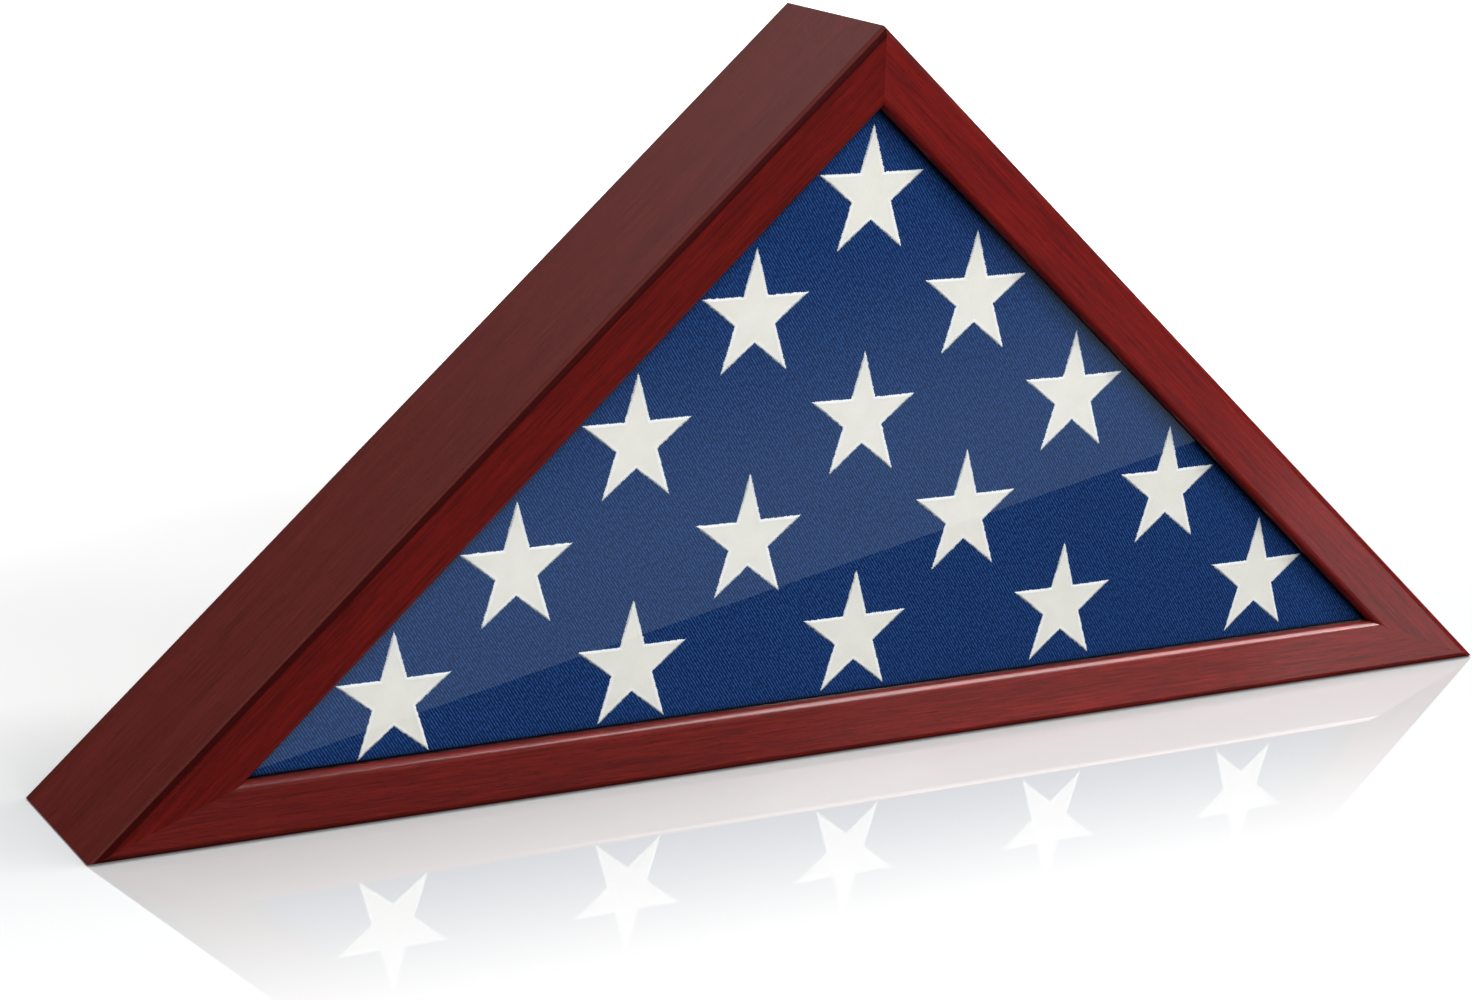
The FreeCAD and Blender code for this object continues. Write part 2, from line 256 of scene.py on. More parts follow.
def wood(name, turn, pale, dark, seed, polish=LACQUER, arris_shade=None):
    """Lacquered wood with its grain along the piece; polish is shine, roughness and coat."""
    s = Shader(name)
    shine, rough, coat = polish
    shift = (seed * 0.37, seed * 0.11, seed * 0.23)

    def grain(length, width, detail, uneven, wave=0.0):
        return s.noise(s.place((length, width, width), turn, shift), detail, uneven, wave)

    fine = grain(*FINE_GRAIN)
    streak = grain(*STREAK_GRAIN, STREAK_WAVE)
    broad = grain(*BROAD_GRAIN)
    pores = s.ramp(grain(*PORE_GRAIN), *PORE_RANGE)
    value = s.math("MULTIPLY", fine, GRAIN_SHARES[0])
    value = s.math("MULTIPLY_ADD", streak, GRAIN_SHARES[1], value)
    value = s.math("MULTIPLY_ADD", broad, GRAIN_SHARES[2], value)
    colour = s.mix(s.ramp(value, *GRAIN_RANGE, smooth=False), dark, pale)
    pore_colour = (*(part * PORE_TINT for part in dark[:3]), 1.0)
    colour = s.mix(s.math("MULTIPLY", pores, PORE_STRENGTH), colour, pore_colour)
    # painted shade on a rail's rounded outer edge
    if arris_shade:
        colour = paint_arris_shade(s, colour, *arris_shade)
    height = s.math("MULTIPLY_ADD", fine, 0.4, s.math("MULTIPLY", pores, -1.0))
    shader = s.surface({
        "Base Color": colour,
        "Roughness": s.math("MULTIPLY_ADD", fine, 0.14, rough - 0.07),
        "Normal": s.bump(height, 0.06 * MM, 0.45),
        "Coat Weight": coat,
        "Coat Roughness": 0.14,
        "Specular IOR Level": shine,
    })
    return s.finish(shader)


def hardboard():
    s = Shader("hardboard")
    fibre = s.cloud(1.6 * MM, 5.0, 0.7, 0.8)
    cloud = s.cloud(50 * MM)
    colour = s.mix(s.ramp(fibre, 0.3, 0.7), rgb(96, 66, 40), rgb(139, 100, 63))
    colour = s.mix(s.math("MULTIPLY", cloud, 0.35), colour, rgb(110, 75, 46))
    normal = s.bump(fibre, 0.12 * MM, 0.5)
    return s.finish(s.surface({"Base Color": colour, "Roughness": 0.62, "Normal": normal}))


def felt():
    s = Shader("black_felt")
    fuzz = s.cloud(0.7 * MM, 6.0, 0.75, 1.2)
    clumps = s.cloud(12 * MM, 3.0)
    colour = s.mix(s.ramp(fuzz, 0.3, 0.75), rgb(14, 14, 15), rgb(38, 38, 40))
    colour = s.mix(s.math("MULTIPLY", clumps, 0.4), colour, rgb(20, 20, 21))
    shader = s.surface({
        "Base Color": colour, "Roughness": 0.95, "Normal": s.bump(fuzz, 0.3 * MM, 0.7),
        "Sheen Weight": 0.35, "Sheen Roughness": 0.5, "Specular IOR Level": 0.1,
    })
    return s.finish(shader)


# length and width of the fine scratches in the metal, and how far they are turned
SCRATCH = (20 * MM, 0.4 * MM, 0.4 * MM)
SCRATCH_TURN = 0.6


def metal(name, colour, worn, rough):
    s = Shader(name)
    scratch = s.noise(s.place(SCRATCH, SCRATCH_TURN), 3.0, 0.6)
    smudge = s.cloud(4 * MM, 3.0, 0.6)
    tint = s.mix(s.ramp(smudge, 0.35, 0.7), colour, worn)
    shader = s.surface({
        "Base Color": tint, "Metallic": 0.8,
        "Roughness": s.math("MULTIPLY_ADD", smudge, 0.25, rough - 0.1),
        "Normal": s.bump(scratch, 0.02 * MM, 0.4),
    })
    return s.finish(shader)


GLASS_IOR = 1.52
# how much the reflections of the pane's two faces come to, as a share of one face's
BOTH_FACES = 1.9


def clear_glass():
    """Picture glass: see-through, with the mirror reflection of both faces in one."""
    s = Shader("glass")
    tint = s.cloud(0.2, 1.0)
    film = s.mix(tint, (0.975, 0.982, 0.978, 1.0), (0.985, 0.99, 0.986, 1.0))
    through = s.clear(film)
    mirror = s.mirror(WHITE, 0.0)
    share = s.add("Fresnel", {"IOR": GLASS_IOR}).outputs[0]
    behind = s.add("NewGeometry").outputs["Backfacing"]
    faces = s.math("MULTIPLY_ADD", behind, -BOTH_FACES, BOTH_FACES)
    share = s.math("MULTIPLY", share, faces, clamp=True)
    both = s.add("MixShader", {0: share, 1: through, 2: mirror}).outputs[0]
    return s.finish(both)


# pale and dark stain, the right rail's paler than the others' as painted light from the right,
# and how strong the painted shade along the outer edge is
RAIL_STAIN_AND_LIGHT = {
    "left": (rgb(92, 19, 16), rgb(58, 12, 10), 0.96),
    "right": (rgb(113, 20, 17), rgb(74, 12, 11), 0.15),
    "bottom": (rgb(90, 22, 18), rgb(57, 14, 12), 0.15),
}
# shine, roughness and coat
RAIL_POLISH = {
    "left": (0.03, 0.46, 0.0),
    "right": LACQUER,
    "bottom": (0.08, 0.38, 0.13),
}
BOARD_STAIN = (rgb(106, 35, 29), rgb(84, 23, 20))
BOARD_POLISH = (0.2, 0.45, 0.0)
STOP_STAIN = (rgb(34, 15, 12), rgb(18, 8, 6))


def finish_case():
    for seed, (side, turn) in enumerate(GRAIN.items(), 1):
        board = wood(f"board_{side}", turn, *BOARD_STAIN, seed, BOARD_POLISH)
        pale, dark, edge_shade = RAIL_STAIN_AND_LIGHT[side]
        rail = wood(f"rail_{side}", turn, pale, dark, seed + 3, RAIL_POLISH[side], (side, edge_shade))
        stop = wood(f"stop_{side}", turn, *STOP_STAIN, seed + 6)
        paint(NODES[f"{side}_board"], board)
        paint(NODES[f"{side}_face_rail"], rail)
        paint(NODES[f"{side}_glass_stop"], stop)
    paint(NODES["back_panel"], hardboard())
    paint(NODES["glass_pane"], clear_glass())
    brass = metal("brass_plate", rgb(226, 190, 112), rgb(176, 138, 74), 0.36)
    steel = metal("nail_steel", rgb(150, 150, 148), rgb(104, 102, 100), 0.42)
    for name, node in NODES.items():
        if name.startswith("turn_button"):
            paint(node, brass)
    paint(NODES["corner_nails"], steel)


# ---------------------------------------------------------------- the flag

FLAG_LOW, FLAG_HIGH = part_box("folded_flag")
FLAG_FRONT, FLAG_BACK = FLAG_LOW.y, FLAG_HIGH.y
FLAG_SHOULDER = FLAG_FRONT + 5.6 * MM
WINDOW_INSET = 23.2 * MM
BUNDLE_INSET = 13.2 * MM
# the corner radii of the window part and of the body, and how far the first reaches back
WINDOW_RADIUS = 9 * MM
BUNDLE_RADIUS = 16 * MM
WINDOW_OVERLAP = 14 * MM
# the cloth simulation: the start shape's spare room, the most that a point may move, the
# voxels, and how long and how hard the cloth is blown up
SIM_SHRINK = 2.6 * MM
SIM_CAP = 2.5 * MM
SIM_VOXEL = 4.5 * MM
SIM_FRAMES = 20
SIM_PRESSURE = 4.0
SIM_STIFFNESS = 20
SIM_BENDING = 0.4
# the face on the glass: how deep it is pressed flat, and over what depth that eases off
PRESSED_DEPTH = 5.0 * MM
PRESS_EASE = 1.4 * MM
PLY_CLEARANCE = 0.05 * MM
# the folds in the bundle's edges, and the unevenness of its back
FOLD_PITCH = 8.2 * MM
FOLD_START = 1.5 * MM
FOLD_GROOVE = 2.4 * MM
BACK_RIPPLE = 1.1 * MM
# folded edges across the bundle's back as two points of the front view, and the steps' height
FOLD_EDGES = (
    ((0.285, 0.018), (-0.165, 0.125), 1.8 * MM),
    ((0.060, 0.018), (0.060, 0.240), 1.2 * MM),
)
FOLD_EDGE_WIDTH = 2.2 * MM
FOLD_EDGE_WAVE = 1.2 * MM


def inset_of(x, z):
    """How far a point of the front view lies inside the nearest side of the triangle."""
    sloped = (HEIGHT * (HALF_BASE - abs(x)) - HALF_BASE * z) / SIDE_LENGTH
    return min(z, sloped)


def inset_corners(inset):
    """The triangle's corners in the front view, with each side moved inwards."""
    half = HALF_BASE - inset * COT_BASE
    apex = HEIGHT - inset * SIDE_LENGTH / HALF_BASE
    return [Vector((-half, inset)), Vector((half, inset)), Vector((0, apex))]


def rounded_outline(corners, radius, steps=6):
    """A polygon's outline with each corner cut by a curve that starts radius before it."""
    outline = []
    count = len(corners)
    for index, corner in enumerate(corners):
        before = (corners[index - 1] - corner).normalized() * radius
        after = (corners[(index + 1) % count] - corner).normalized() * radius
        for step in range(steps + 1):
            share = step / steps
            a, b = corner + before * (1 - share), corner + after * share
            outline.append(a.lerp(b, share))
    return outline


def bridge(bm, outer, inner):
    """A closed band of faces between two rings of as many points."""
    faces = []
    for index, start in enumerate(outer):
        after = (index + 1) % len(outer)
        faces.append(bm.faces.new((start, outer[after], inner[after], inner[index])))
    return faces


def fan(bm, ring, tip):
    """Faces from a ring to one point."""
    for index, start in enumerate(ring):
        bm.faces.new((start, ring[(index + 1) % len(ring)], tip))


def add_prism(bm, outline, front, back):
    """A closed block with that outline in the front view."""
    near, far = [[bm.verts.new((p.x, y, p.y)) for p in outline] for y in (front, back)]
    bm.faces.new(near[::-1])
    bm.faces.new(far)
    bridge(bm, near, far)


def new_object(name, bm):
    """A smooth-shaded object of the mesh, in the scene."""
    bmesh.ops.recalc_face_normals(bm, faces=bm.faces)
    mesh = bpy.data.meshes.new(name)
    bm.to_mesh(mesh)
    bm.free()
    for polygon in mesh.polygons:
        polygon.use_smooth = True
    obj = bpy.data.objects.new(name, mesh)
    bpy.context.scene.collection.objects.link(obj)
    return obj


def apply_modifiers(obj):
    graph = bpy.context.evaluated_depsgraph_get()
    mesh = bpy.data.meshes.new_from_object(obj.evaluated_get(graph))
    obj.modifiers.clear()
    old, obj.data = obj.data, mesh
    bpy.data.meshes.remove(old)


def remesh(obj, voxel):
    modifier = obj.modifiers.new("voxels", "REMESH")
    modifier.mode = "VOXEL"
    modifier.voxel_size = voxel
    modifier.use_smooth_shade = True
    apply_modifiers(obj)


def swell(obj):
    """The bundle's cloth under a little pressure, so that its edges and folds round out."""
    rest = [v.co.copy() for v in obj.data.vertices]
    cloth = obj.modifiers.new("cloth", "CLOTH")
    settings = cloth.settings
    settings.use_pressure = True
    settings.uniform_pressure_force = SIM_PRESSURE
    settings.effector_weights.gravity = 0.0
    settings.tension_stiffness = settings.compression_stiffness = SIM_STIFFNESS
    settings.bending_stiffness = SIM_BENDING
    cloth.point_cache.frame_start, cloth.point_cache.frame_end = 1, SIM_FRAMES
    scene = bpy.context.scene
    for number in range(1, SIM_FRAMES + 1):
        scene.frame_set(number)
    apply_modifiers(obj)
    scene.frame_set(1)
    for vertex, start in zip(obj.data.vertices, rest):
        move = vertex.co - start
        if move.length > SIM_CAP:
            vertex.co = start + move.normalized() * SIM_CAP


def subdivide(obj):
    modifier = obj.modifiers.new("smooth", "SUBSURF")
    modifier.levels = modifier.render_levels = 1
    apply_modifiers(obj)


def press_and_fold(obj):
    """Flattens the face that rests on the glass, and works the folds into the edges."""
    mesh = obj.data
    normals = [v.normal.copy() for v in mesh.vertices]
    for vertex, normal in zip(mesh.vertices, normals):
        x, y, z = vertex.co
        depth = y - FLAG_FRONT
        if depth < PRESSED_DEPTH and inset_of(x, z) > WINDOW_INSET:
            depth = max(depth, 0)
            vertex.co.y = FLAG_FRONT + PLY_CLEARANCE + depth**2 / (depth + PRESS_EASE)
            continue
        sideways = 1 - min(1, abs(normal.y) / 0.7)
        if sideways > 0 and y > FLAG_SHOULDER + FOLD_START:
            drift = noise.noise(Vector((x, 0, z)) * 9) * 0.5
            drift += noise.noise(Vector((z, x, 0)) * 31) * 0.12
            phase = (y - FLAG_SHOULDER) / FOLD_PITCH + drift
            groove = abs(math.cos(math.pi * phase)) ** 6
            vertex.co -= Vector((normal.x, 0, normal.z)) * (groove * sideways * FOLD_GROOVE)
        elif normal.y > 0.5:
            ripple = noise.noise(Vector((x * 14, 1.7, z * 22)))
            vertex.co.y -= (0.5 + ripple * 0.5) * BACK_RIPPLE + terrace(x, z)


def terrace(x, z):
    """How far the plies of the bundle's back step down past each folded edge."""
    drop = 0.0
    for (x0, z0), (x1, z1), height in FOLD_EDGES:
        run = Vector((x1 - x0, z1 - z0)).normalized()
        past = run.x * (z - z0) - run.y * (x - x0)
        past += FOLD_EDGE_WAVE * noise.noise(Vector((x * 30, 7.7, z * 30)))
        share = min(1, max(0, past / FOLD_EDGE_WIDTH))
        drop += height * share * share * (3 - 2 * share)
    return drop


def make_bundle():
    """The folded flag: a narrower part in the window and a wider body behind it."""
    bm = bmesh.new()
    window = rounded_outline(inset_corners(WINDOW_INSET + SIM_SHRINK), WINDOW_RADIUS)
    add_prism(bm, window, FLAG_FRONT + SIM_SHRINK, FLAG_SHOULDER + WINDOW_OVERLAP)
    body = rounded_outline(inset_corners(BUNDLE_INSET + SIM_SHRINK), BUNDLE_RADIUS)
    add_prism(bm, body, FLAG_SHOULDER + SIM_SHRINK, FLAG_BACK - SIM_SHRINK)
    bundle = new_object("flag_bundle", bm)
    remesh(bundle, SIM_VOXEL)
    swell(bundle)
    subdivide(bundle)
    press_and_fold(bundle)
    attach(bundle, "case")
    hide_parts("folded_flag")
    paint(bundle, FLAG_CLOTH)
    return bundle


FRONT_PLY_STEPS = 90
FRONT_PLY_THICK = 0.35 * MM
FRONT_PLY_SWAY = 0.12
# inset from the case's outer faces and depth behind the flag's front, in mm
FRONT_PLY_SECTION = [
    (24.2, 9.0), (23.4, 6.5), (23.0, 4.0), (22.95, 2.2), (23.1, 1.0), (23.6, 0.35), (24.6, 0.08),
    (26.5, 0.0), (30.0, 0.0), (36.0, 0.0), (44.0, 0.0), (54.0, 0.0), (66.0, 0.0), (80.0, 0.0),
    (96.0, 0.0), (112.0, 0.0), (124.0, 0.0), (126.1, 0.0),
]


def make_front_ply():
    """The ply that shows: flat against the glass, its edges turned back inside the stops."""
    bm = bmesh.new()
    rings = []
    for inset, depth in FRONT_PLY_SECTION:
        corners = inset_corners(inset * MM)
        ring = []
        for index in range(3):
            a, b = corners[index], corners[(index + 1) % 3]
            for step in range(FRONT_PLY_STEPS):
                p = a.lerp(b, step / FRONT_PLY_STEPS)
                sway = noise.noise(Vector((p.x * 40, depth * 0.2, p.y * 40)))
                behind = depth + FRONT_PLY_SWAY * sway * (depth < 1)
                ring.append(bm.verts.new((p.x, FLAG_FRONT + behind * MM, p.y)))
        rings.append(ring)
    for outer, inner in zip(rings, rings[1:]):
        bridge(bm, outer, inner)
    bmesh.ops.remove_doubles(bm, verts=rings[-1], dist=0.2 * MM)
    ply = new_object("flag_front_ply", bm)
    skin = ply.modifiers.new("cloth", "SOLIDIFY")
    skin.thickness = FRONT_PLY_THICK
    skin.offset = -1
    apply_modifiers(ply)
    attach(ply, "case")
    paint(ply, FLAG_CLOTH)
    corners = inset_corners(FRONT_PLY_SECTION[0][0] * MM)


TUCK_ROWS = 26
# the folded edge's ends and the corner that goes under the side, in the front view
TUCK_CORNERS = ((-0.262, 0.022), (-0.118, 0.150), (0.020, 0.022))
TUCK_THICK = 2.2 * MM
TUCK_ROUND = 0.95 * MM
# how far the tuck's outer face stands off the bundle, and how much that varies, in mm
TUCK_LIFT = (1.5, 0.5)


def make_tuck(bundle):
    """The last folded corner, two plies thick, laid over the bundle's back and tucked in."""
    behind = BVHTree.FromObject(bundle, bpy.context.evaluated_depsgraph_get())
    bm = bmesh.new()
    low, high, free = (Vector(p) for p in TUCK_CORNERS)
    rows = []
    for level in range(TUCK_ROWS):
        rise = level / TUCK_ROWS
        a, b = low.lerp(high, rise), free.lerp(high, rise)
        count = max(2, round(TUCK_ROWS * 1.6 * (1 - rise)))
        rows.append([a.lerp(b, step / count) for step in range(count + 1)])
    rows.append([high])
    grid = [[bm.verts.new((p.x, FLAG_BACK, p.y)) for p in row] for row in rows]
    for below, above in zip(grid, grid[1:]):
        stitch_rows(bm, below, above)
    lift, uneven = TUCK_LIFT
    for vertex in bm.verts:
        x, _, z = vertex.co
        hit = behind.ray_cast(Vector((x, FLAG_BACK + 0.05, z)), Vector((0, -1, 0)))[0]
        soft = noise.noise(Vector((x * 22, 4.1, z * 22)))
        vertex.co.y = (hit.y if hit else FLAG_BACK) + (lift + uneven * soft) * MM
    tuck = new_object("flag_tuck", bm)
    skin = tuck.modifiers.new("plies", "SOLIDIFY")
    skin.thickness = TUCK_THICK
    skin.offset = -1
    edge = tuck.modifiers.new("folded_edge", "BEVEL")
    edge.width = TUCK_ROUND
    edge.segments = 3
    edge.limit_method = "ANGLE"
    apply_modifiers(tuck)
    for polygon in tuck.data.polygons:
        polygon.use_smooth = True
    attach(tuck, "case")
    paint(tuck, FLAG_CLOTH)


def stitch_rows(bm, below, above):
    """Triangles between two rows of vertices whose counts differ."""
    i = j = 0
    while i < len(below) - 1 or j < len(above) - 1:
        step_below = (i + 1) * max(1, len(above) - 1) <= (j + 1) * (len(below) - 1)
        if j == len(above) - 1 or (step_below and i < len(below) - 1):
            bm.faces.new((below[i], below[i + 1], above[j]))
            i += 1
        else:
            bm.faces.new((below[i], above[j + 1], above[j]))
            j += 1


FELT_STEP = 4 * MM
# the felt's loops from its edge inwards, as shares of the way from the middle
FELT_LOOPS = (1.0, 0.985, 0.8, 0.55, 0.3)
# how far the felt stands off its CAD face, how uneven that is, and how ragged its edge is
FELT_NAP = 0.06 * MM
FELT_UNEVEN = 0.05 * MM
FELT_RAGGED = 0.15 * MM
FELT_CORNER = 1.5 * MM


def make_lining():
    """The felt that is glued to the back panel's inner face."""
    low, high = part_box("panel_lining")
    back_y = high.y - 0.01 * MM
    bm = bmesh.new()
    outline = [Vector((low.x, low.z)), Vector((high.x, low.z)), Vector((0, high.z))]
    ring = rounded_outline(outline, FELT_CORNER, 2)
    edge = []
    for index, start in enumerate(ring):
        end = ring[(index + 1) % len(ring)]
        steps = max(1, round((end - start).length / FELT_STEP))
        edge += [start.lerp(end, step / steps) for step in range(steps)]
    centre = Vector((0, low.z + (high.z - low.z) / COT_BASE))
    loops = []
    for share in FELT_LOOPS:
        loop = []
        for p in edge:
            q = centre.lerp(p, share)
            ragged = noise.noise(Vector((q.x, q.y, 2.0)) * 240) * FELT_RAGGED * (share == 1)
            inner = low.y + FELT_NAP + FELT_UNEVEN * noise.noise(Vector((q.x, 0.0, q.y)) * 60)
            loop.append(bm.verts.new((q.x * (1 - abs(ragged) / HALF_BASE), inner, q.y)))
        loops.append(loop)
    backs = [bm.verts.new((v.co.x, back_y, v.co.z)) for v in loops[0]]
    for outer, inner in zip([backs] + loops, loops):
        bridge(bm, outer, inner)
    fan(bm, loops[-1], bm.verts.new((centre.x, low.y + FELT_NAP, centre.y)))
    fan(bm, backs, bm.verts.new((centre.x, back_y, centre.y)))
    lining = new_object("felt_lining", bm)
    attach(lining, "back_panel")
    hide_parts("panel_lining")
    paint(lining, felt())


TWILL_PITCH = 1.1 * MM
TWILL_TURN = math.radians(32)
# the length and width of one yarn's float, and the size of the fuzz on the cloth
YARN_FLOAT = (1.7 * MM, 0.8 * MM)
FUZZ = (0.55 * MM, 1.2 * MM, 0.9 * MM)
FLAG_DARK = rgb(2, 26, 74)
FLAG_PALE = rgb(40, 88, 158)


def flag_cloth():
    """Cotton bunting in a steep twill."""
    s = Shader("flag_blue")
    wander = s.cloud(11 * MM)
    fine = s.noise(s.place(FUZZ), 3.0, 0.7)
    along = s.along((math.cos(TWILL_TURN), 0.35, math.sin(TWILL_TURN)))
    across = s.along((-math.sin(TWILL_TURN), 0.2, math.cos(TWILL_TURN)))
    phase = s.math("MULTIPLY", along, 2 * math.pi / TWILL_PITCH)
    phase = s.math("MULTIPLY_ADD", wander, 1.6, phase)
    ribs = s.math("MULTIPLY_ADD", s.math("SINE", phase), 0.5, 0.5)
    floats = (s.math("DIVIDE", along, YARN_FLOAT[1]), s.math("DIVIDE", across, YARN_FLOAT[0]))
    dots = s.add("CombineXYZ", {0: floats[0], 1: floats[1]}).outputs[0]
    yarn = s.ramp(s.noise(dots, 1.0), 0.35, 0.70)
    weave = s.math("MULTIPLY", ribs, 0.32)
    weave = s.math("MULTIPLY_ADD", s.math("MULTIPLY", ribs, yarn), 0.55, weave)
    weave = s.math("MULTIPLY_ADD", fine, 0.45, weave)
    cloud = s.cloud(60 * MM, 3.0)
    shade = s.ramp(weave, 0.26, 0.86, smooth=False)
    colour = s.mix(shade, FLAG_DARK, FLAG_PALE)
    colour = s.mix(s.math("MULTIPLY", cloud, 0.22), colour, FLAG_DARK)
    shader = s.surface({
        "Base Color": colour, "Roughness": 0.85, "Normal": s.bump(weave, 0.18 * MM, 0.7),
        "Sheen Weight": 0.08, "Sheen Roughness": 0.4, "Specular IOR Level": 0.15,
    })
    return s.finish(shader)


FLAG_CLOTH = flag_cloth()


# ---------------------------------------------------------------- the stars

STAR_ROWS = 5
# a star's circle, its inner corners as a share of that, and how much it is stretched upwards
STAR_REACH = 25.2 * MM
STAR_WAIST = 0.375
STAR_STRETCH = 1.1
STAR_COLUMN_PITCH = 101.2 * MM
STAR_ROW_PITCH = 45.6 * MM
STAR_FIRST_ROW = 47.8 * MM
STAR_SLOPE = 0.008
STAR_POINT = math.radians(72)
# points along each of a star's ten edges; every second one is a stitch further out
STAR_SAMPLES = 38
# a star's section from its rim inwards, in mm: distance from the rim, height, jitter; is thread
STAR_SECTION = [
    (0.00, -0.10, 0.18, True),
    (0.05, 0.14, 0.19, True),
    (0.45, 0.28, 0.08, True),
    (0.85, 0.28, 0.05, True),
    (1.15, 0.24, 0.0, False),
    (2.60, 0.25, 0.0, False),
]
STITCH_HEIGHT = 0.05
RIM_WOBBLE = 2.0
# how far the star's middle stands in front of the flag's face, and its back behind it
STAR_MIDDLE = 0.27 * MM
STAR_BACK = 0.10 * MM


def star_corners(x, z):
    """The ten corners anticlockwise from the top."""
    corners = []
    for step in range(10):
        angle = math.pi / 2 + STAR_POINT / 2 * step
        radius = STAR_REACH * (STAR_WAIST if step % 2 else 1)
        rise = STAR_STRETCH * radius * math.sin(angle)
        corners.append(Vector((x + radius * math.cos(angle), z + rise)))
    return corners


def inset_polygon(corners, distance):
    """The polygon, whose corners run anticlockwise, with each side moved inwards."""
    moved = []
    count = len(corners)
    for index in range(count):
        a, b, c = corners[index - 1], corners[index], corners[(index + 1) % count]
        into, out = (b - a).normalized(), (c - b).normalized()
        n1, n2 = Vector((-into.y, into.x)), Vector((-out.y, out.x))
        moved.append(b + (n1 + n2) * (distance / (1 + n1.dot(n2))))
    return moved


def star_ring(bm, corners, distance, height, jitter):
    """A ring of points inside the star's outline, ragged by the stitches; lengths in mm."""
    loop = inset_polygon(corners, distance * MM)
    ring = []
    for index, a in enumerate(loop):
        b = loop[(index + 1) % len(loop)]
        outward = Vector(((b - a).y, -(b - a).x)).normalized()
        for step in range(STAR_SAMPLES):
            share = step / STAR_SAMPLES
            point = a.lerp(b, share)
            stitch = math.cos(math.pi * step)
            zigzag = stitch * jitter * math.sin(math.pi * share) ** 0.3 if step else 0
            wobble = noise.noise(Vector((point.x, point.y, 0.3)) * 900) * RIM_WOBBLE * jitter
            point = point + outward * (zigzag + wobble) * MM
            lift = height + (STITCH_HEIGHT * stitch if jitter else 0)
            ring.append(bm.verts.new((point.x, FLAG_FRONT - lift * MM, point.y)))
    return ring


def make_star(name, x, z, cloth, thread):
    """A sewn-on star: a cloth face inside a zigzag-stitched border."""
    corners = star_corners(x, z)
    bm = bmesh.new()
    rings = [star_ring(bm, corners, *row[:3]) for row in STAR_SECTION]
    for outer, inner, row in zip(rings, rings[1:], STAR_SECTION):
        for face in bridge(bm, outer, inner):
            face.material_index = 1 if row[3] else 0
    fan(bm, rings[-1], bm.verts.new((x, FLAG_FRONT - STAR_MIDDLE, z)))
    fan(bm, rings[0], bm.verts.new((x, FLAG_FRONT + STAR_BACK, z)))
    star = new_object(name, bm)
    star.data.materials.append(cloth)
    star.data.materials.append(thread)
    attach(star, "case")
    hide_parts("flag_stars")


def white_cloth(name, pale, dark, rib, rough):
    """A plain weave of that rib, its shade varied by the weave, fuzz and broad clouds."""
    s = Shader(name)
    parts = s.add("SeparateXYZ", {0: s.place((1, 1, 1))})
    warp = s.math("SINE", s.math("MULTIPLY", parts.outputs["X"], 2 * math.pi / rib))
    weft = s.math("SINE", s.math("MULTIPLY", parts.outputs["Z"], 2 * math.pi / rib))
    weave = s.math("MULTIPLY_ADD", s.math("MULTIPLY", warp, weft), 0.5, 0.5)
    fine = s.cloud(0.9 * MM, 3.0, 0.6)
    cloud = s.cloud(9 * MM, 3.0)
    height = s.math("MULTIPLY_ADD", fine, 0.8, weave)
    shade = s.math("MULTIPLY_ADD", cloud, 0.5, s.math("MULTIPLY", height, 0.4))
    colour = s.mix(s.ramp(shade, 0.25, 0.85), dark, pale)
    shader = s.surface({
        "Base Color": colour, "Roughness": rough, "Normal": s.bump(height, 0.08 * MM, 0.5),
        "Specular IOR Level": 0.15,
    })
    return s.finish(shader)


def make_stars():
    cloth = white_cloth("star_cloth", rgb(248, 245, 239), rgb(236, 232, 224), 0.5 * MM, 0.9)
    thread = white_cloth("star_thread", rgb(255, 255, 255), rgb(250, 250, 250), 0.35 * MM, 0.6)
    number = 0
    for row in range(STAR_ROWS):
        in_row = STAR_ROWS - row
        for column in range(in_row):
            number += 1
            x = (column - (in_row - 1) / 2) * STAR_COLUMN_PITCH
            z = STAR_FIRST_ROW + row * STAR_ROW_PITCH + x * STAR_SLOPE
            make_star(f"star_{number:02d}", x, z, cloth, thread)


# ---------------------------------------------------------------- lights, floor, world


def softbox(name, place, target, side, power):
    """A square lamp that points at the target."""
    data = bpy.data.lights.new(name, "AREA")
    data.shape = "RECTANGLE"
    data.size = data.size_y = side
    data.energy = power
    lamp = bpy.data.objects.new(name, data)
    lamp.location = place
    direction = Vector(target) - lamp.location
    lamp.rotation_euler = direction.to_track_quat("-Z", "Y").to_euler()
    bpy.context.scene.collection.objects.link(lamp)
    return lamp


def light_only(source, receivers):
    """Restricts what a lamp or a glowing card lights."""
    group = bpy.data.collections.new(f"{source.name}_light")
    for receiver in receivers:
        group.objects.link(receiver)
    source.light_linking.receiver_collection = group


def quad(name, corners, material):
    mesh = bpy.data.meshes.new(name)
    mesh.from_pydata(corners, [], [(0, 1, 2, 3)])
    mesh.materials.append(material)
    obj = bpy.data.objects.new(name, mesh)
    bpy.context.scene.collection.objects.link(obj)
    return obj


def mirrored_only(card, receivers):
    """Makes a glowing card show only as a reflection, and only in some pieces."""
    card.visible_camera = card.visible_diffuse = card.visible_shadow = False
    light_only(card, receivers)


FLOOR_REACH = 8.0
# just under the case, so that the two faces don't coincide
FLOOR_LOW = -0.4 * MM
FLOOR_GLOW = 0.16
# how far from the middle the floor's own glow begins to rise, and where it is full
GLOW_RANGE = (0.36, 0.9)
FLOOR_GREYS = ((0.30, 0.30, 0.30, 1), (0.32, 0.32, 0.32, 1))
FLOOR_MIRROR = 0.34
MIRROR_COLOUR = (0.94, 0.98, 1.0, 1)
# along Y, where the mirror begins and is full in front of the case and behind its front
MIRROR_BEFORE = (FRONT - 0.19, FRONT - 0.02)
MIRROR_BEHIND = (0.12, 0.02)
BACKDROP = ((-6, 4, -3), (6, 4, -3), (6, 4, 3), (-6, 4, 3))


